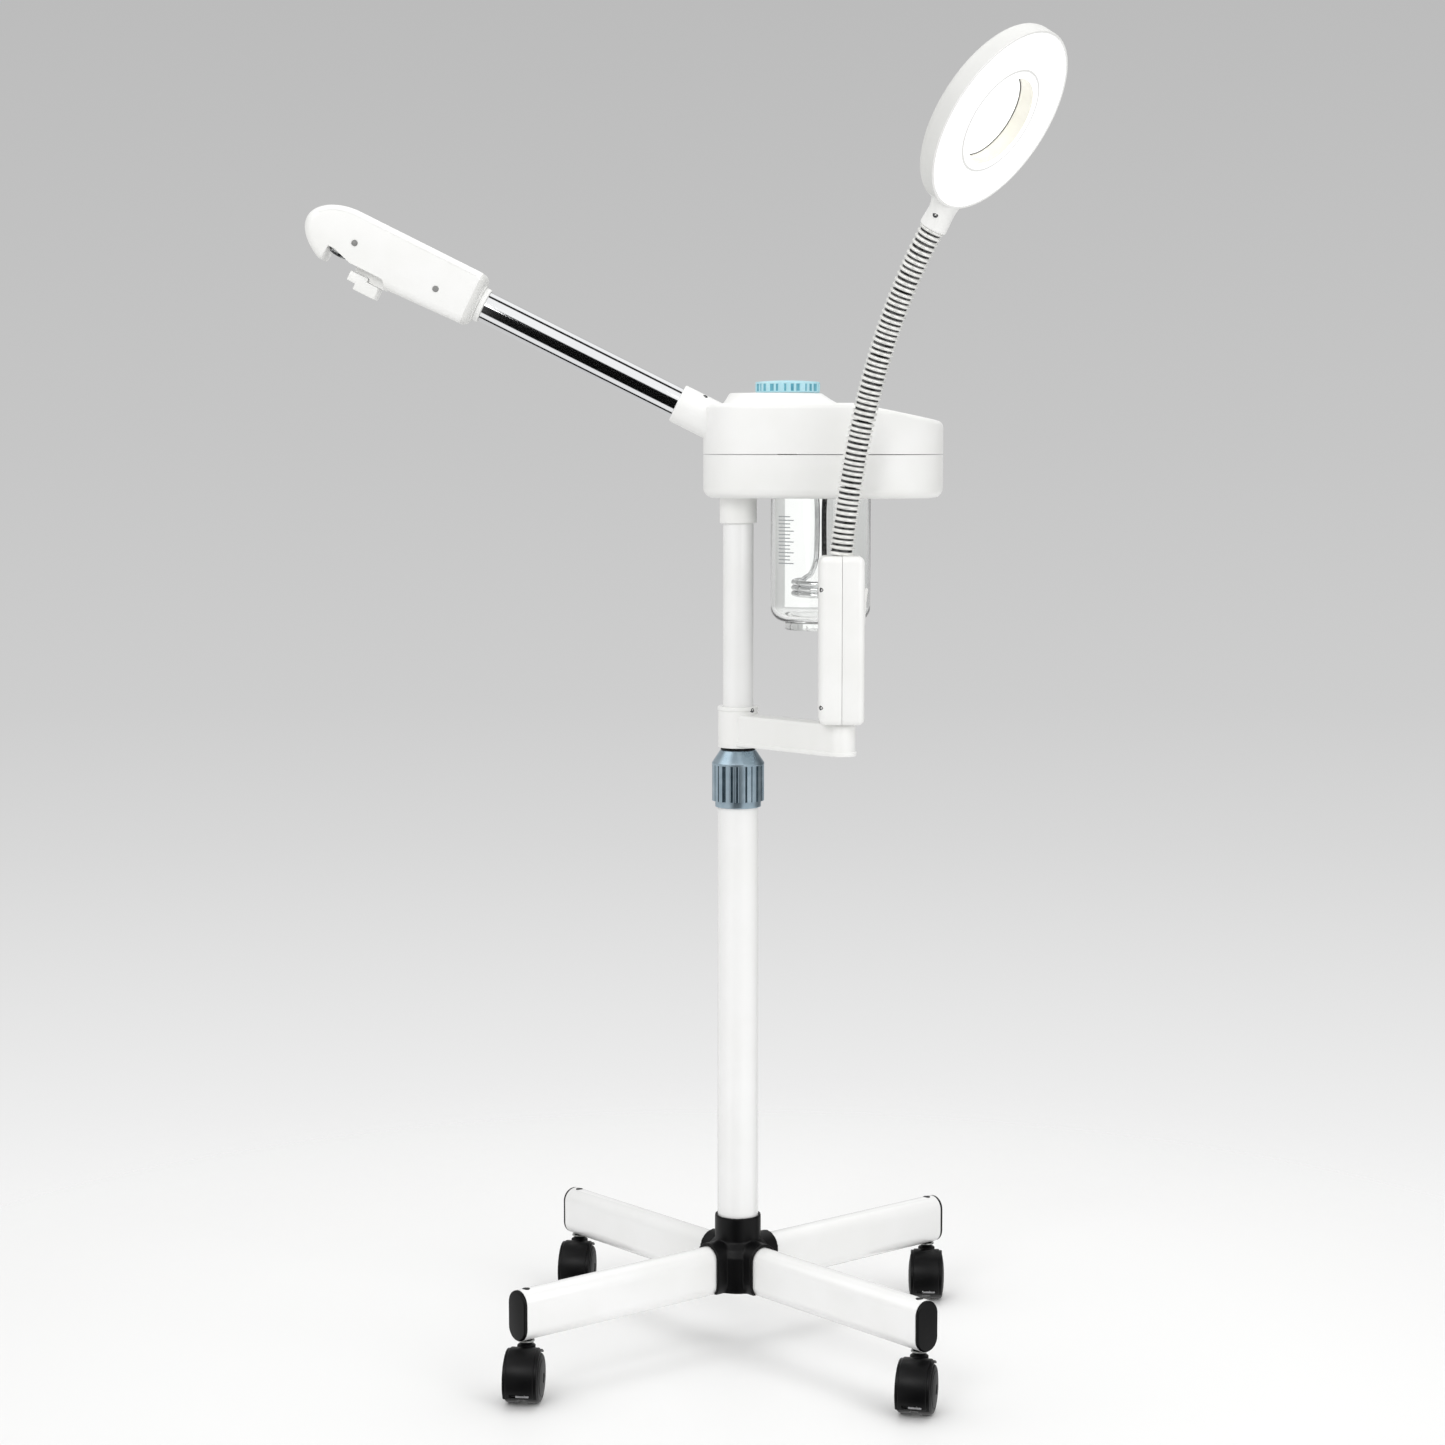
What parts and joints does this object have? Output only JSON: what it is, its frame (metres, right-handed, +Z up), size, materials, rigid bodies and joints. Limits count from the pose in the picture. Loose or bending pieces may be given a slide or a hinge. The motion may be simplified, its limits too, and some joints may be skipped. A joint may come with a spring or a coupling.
{
  "type": "facial steamer",
  "caption": "Upright steam unit with a glass water jar, tilted steam arm and nozzle, and a magnifier lamp on a gooseneck, on a telescopic post with a caster base.",
  "frame": {"origin": "on the post's axis at floor level", "axes": "+Z up along the post, +X to the right of the picture over the water jar, +Y away from the camera"},
  "size_m": [0.6703, 0.4625, 1.1895],
  "materials": {
    "white_shell": "smooth moulded white plastic",
    "white_paint": "gloss white paint on steel tube",
    "black_plastic": "satin moulded black plastic",
    "black_rubber": "hard black rubber",
    "collar_blue": "blue-grey fluted plastic",
    "chrome": "polished chrome on steel",
    "steel": "zinc-plated steel",
    "glass": "clear glass",
    "aqua": "light aqua plastic",
    "silicone": "soft silicone",
    "diffuser": "opal light diffuser",
    "board": "circuit board"
  },
  "bodies": {
    "base": {"base_hub": "black_plastic", "hub_bolt": "steel", "leg_1": "white_paint", "leg_2": "white_paint", "leg_3": "white_paint", "leg_4": "white_paint", "leg_cap_1": "black_plastic", "leg_cap_2": "black_plastic", "leg_cap_3": "black_plastic", "leg_cap_4": "black_plastic", "lower_post": "white_paint"},
    "caster_1": {"caster_frame_1": "black_plastic"},
    "wheel_1a": {"caster_wheel_1a": "black_rubber"},
    "wheel_1b": {"caster_wheel_1b": "black_rubber"},
    "caster_2": {"caster_frame_2": "black_plastic"},
    "wheel_2a": {"caster_wheel_2a": "black_rubber"},
    "wheel_2b": {"caster_wheel_2b": "black_rubber"},
    "caster_3": {"caster_frame_3": "black_plastic"},
    "wheel_3a": {"caster_wheel_3a": "black_rubber"},
    "wheel_3b": {"caster_wheel_3b": "black_rubber"},
    "caster_4": {"caster_frame_4": "black_plastic"},
    "wheel_4a": {"caster_wheel_4a": "black_rubber"},
    "wheel_4b": {"caster_wheel_4b": "black_rubber"},
    "collar": {"lock_collar": "collar_blue"},
    "glide": {"post_glide": "black_plastic"},
    "head": {"upper_post": "white_paint", "housing_upper": "white_shell", "housing_lower": "white_shell", "jar_collar": "white_shell", "fill_funnel": "white_shell", "heater_flange": "steel", "heater_coil": "chrome", "steam_tube": "chrome", "control_board": "board", "power_inlet": "black_plastic"},
    "bracket_arm": {"bracket": "white_shell", "box_pivot": "steel"},
    "box": {"lamp_box_left": "white_shell", "lamp_box_right": "white_shell", "gooseneck_1": "steel"},
    "neck_2": {"gooseneck_2": "steel"},
    "neck_3": {"gooseneck_3": "steel"},
    "neck_4": {"gooseneck_4": "steel"},
    "lamp": {"gooseneck_5": "steel", "lamp_head": "white_shell", "lamp_diffuser": "diffuser", "led_board": "board", "lens_ring": "white_shell", "magnifier_lens": "glass"},
    "switch": {"lamp_switch": "white_shell"},
    "nozzle": {"nozzle_front": "white_shell", "nozzle_back": "white_shell", "nozzle_spout": "white_shell"},
    "aroma": {"aroma_holder": "white_shell"},
    "gasket": {"cap_gasket": "silicone"},
    "cap": {"fill_cap": "aqua"},
    "seal": {"jar_seal": "silicone"},
    "jar_body": {"jar": "glass"},
    "power": {"power_button": "white_shell"},
    "ozone": {"ozone_button": "white_shell"}
  },
  "joints": [
    {"name": "caster_swivel_1", "type": "hinge", "parent": "base", "child": "caster_1", "pos_m": [0.18806, 0.1578, 0.05], "axis": [0, 0, 1], "continuous": true},
    {"name": "wheel_roll_1a", "type": "hinge", "parent": "caster_1", "child": "wheel_1a", "pos_m": [0.18723, 0.14583, 0.022], "axis": [0.9976, -0.0698, 0], "continuous": true},
    {"name": "wheel_roll_1b", "type": "hinge", "parent": "caster_1", "child": "wheel_1b", "pos_m": [0.18723, 0.14583, 0.022], "axis": [0.9976, -0.0698, 0], "continuous": true},
    {"name": "caster_swivel_2", "type": "hinge", "parent": "base", "child": "caster_2", "pos_m": [-0.1578, 0.18806, 0.05], "axis": [0, 0, 1], "continuous": true},
    {"name": "wheel_roll_2a", "type": "hinge", "parent": "caster_2", "child": "wheel_2a", "pos_m": [-0.15947, 0.17618, 0.022], "axis": [0.9903, -0.1392, 0], "continuous": true},
    {"name": "wheel_roll_2b", "type": "hinge", "parent": "caster_2", "child": "wheel_2b", "pos_m": [-0.15947, 0.17618, 0.022], "axis": [0.9903, -0.1392, 0], "continuous": true},
    {"name": "caster_swivel_3", "type": "hinge", "parent": "base", "child": "caster_3", "pos_m": [-0.18806, -0.1578, 0.05], "axis": [0, 0, 1], "continuous": true},
    {"name": "wheel_roll_3a", "type": "hinge", "parent": "caster_3", "child": "wheel_3a", "pos_m": [-0.18953, -0.16972, 0.022], "axis": [0.9925, -0.1219, 0], "continuous": true},
    {"name": "wheel_roll_3b", "type": "hinge", "parent": "caster_3", "child": "wheel_3b", "pos_m": [-0.18953, -0.16972, 0.022], "axis": [0.9925, -0.1219, 0], "continuous": true},
    {"name": "caster_swivel_4", "type": "hinge", "parent": "base", "child": "caster_4", "pos_m": [0.1578, -0.18806, 0.05], "axis": [0, 0, 1], "continuous": true},
    {"name": "wheel_roll_4a", "type": "hinge", "parent": "caster_4", "child": "wheel_4a", "pos_m": [0.1549, -0.19971, 0.022], "axis": [0.9703, -0.2419, 0], "continuous": true},
    {"name": "wheel_roll_4b", "type": "hinge", "parent": "caster_4", "child": "wheel_4b", "pos_m": [0.1549, -0.19971, 0.022], "axis": [0.9703, -0.2419, 0], "continuous": true},
    {"name": "collar_turn", "type": "hinge", "parent": "base", "child": "collar", "pos_m": [0, 0, 0.53], "axis": [0, 0, 1], "range_deg": [0, 60]},
    {"name": "height_slide", "type": "slide", "parent": "base", "child": "glide", "axis": [0, 0, 1], "range_m": [0, 0.25]},
    {"name": "head_turn", "type": "hinge", "parent": "glide", "child": "head", "pos_m": [0, 0, 0.2], "axis": [0, 0, 1], "range_deg": [-90, 90]},
    {"name": "bracket_swing", "type": "hinge", "parent": "head", "child": "bracket_arm", "pos_m": [0, 0, 0.58], "axis": [0, 0, 1], "range_deg": [-95, 4]},
    {"name": "box_swivel", "type": "hinge", "parent": "bracket_arm", "child": "box", "pos_m": [0.09071, -0.09727, 0.5943], "axis": [0, 0, 1], "range_deg": [-60, 45]},
    {"name": "neck_bend_1", "type": "hinge", "parent": "box", "child": "neck_2", "pos_m": [0.09804, -0.10222, 0.80371], "axis": [0.5592, 0.829, 0], "range_deg": [-8, 8]},
    {"name": "neck_bend_2", "type": "hinge", "parent": "neck_2", "child": "neck_3", "pos_m": [0.10853, -0.10929, 0.86184], "axis": [0.5592, 0.829, 0], "range_deg": [-8, 8]},
    {"name": "neck_bend_3", "type": "hinge", "parent": "neck_3", "child": "neck_4", "pos_m": [0.12288, -0.11897, 0.91874], "axis": [0.5592, 0.829, 0], "range_deg": [-8, 8]},
    {"name": "neck_bend_4", "type": "hinge", "parent": "neck_4", "child": "lamp", "pos_m": [0.14173, -0.13169, 0.97369], "axis": [0.5592, 0.829, 0], "range_deg": [-8, 8]},
    {"name": "switch_rock", "type": "hinge", "parent": "box", "child": "switch", "pos_m": [0.10771, -0.09727, 0.6983], "axis": [0, 1, 0], "range_deg": [-6, 6]},
    {"name": "nozzle_turn", "type": "hinge", "parent": "head", "child": "nozzle", "pos_m": [-0.23045, 0, 0.9659], "axis": [-0.8949, 0, 0.4462], "range_deg": [-90, 90]},
    {"name": "aroma_pull", "type": "slide", "parent": "nozzle", "child": "aroma", "axis": [-0.4462, 0, -0.8949], "range_m": [0, 0.014]},
    {"name": "cap_lift", "type": "slide", "parent": "head", "child": "gasket", "axis": [0, 0, 1], "range_m": [0, 0.05]},
    {"name": "cap_turn", "type": "hinge", "parent": "gasket", "child": "cap", "pos_m": [0.045, 0, 0.89], "axis": [0, 0, 1], "range_deg": [0, 90]},
    {"name": "jar_drop", "type": "slide", "parent": "head", "child": "seal", "axis": [0, 0, 1], "range_m": [-0.06, 0]},
    {"name": "jar_turn", "type": "hinge", "parent": "seal", "child": "jar_body", "pos_m": [0.0755, 0, 0.8], "axis": [0, 0, 1], "range_deg": [-45, 0]},
    {"name": "power_press", "type": "slide", "parent": "head", "child": "power", "axis": [-0.1908, 0, -0.9816], "range_m": [0, 0.002], "stiffness_N_per_m": 500, "springref_m": -0.001},
    {"name": "ozone_press", "type": "slide", "parent": "head", "child": "ozone", "axis": [-0.1908, 0, -0.9816], "range_m": [0, 0.002], "stiffness_N_per_m": 500, "springref_m": -0.001}
  ],
  "couplings": [
    {"joint": "neck_bend_2", "follows": "neck_bend_1", "ratio": 1},
    {"joint": "neck_bend_3", "follows": "neck_bend_1", "ratio": 1},
    {"joint": "neck_bend_4", "follows": "neck_bend_1", "ratio": 1}
  ]
}
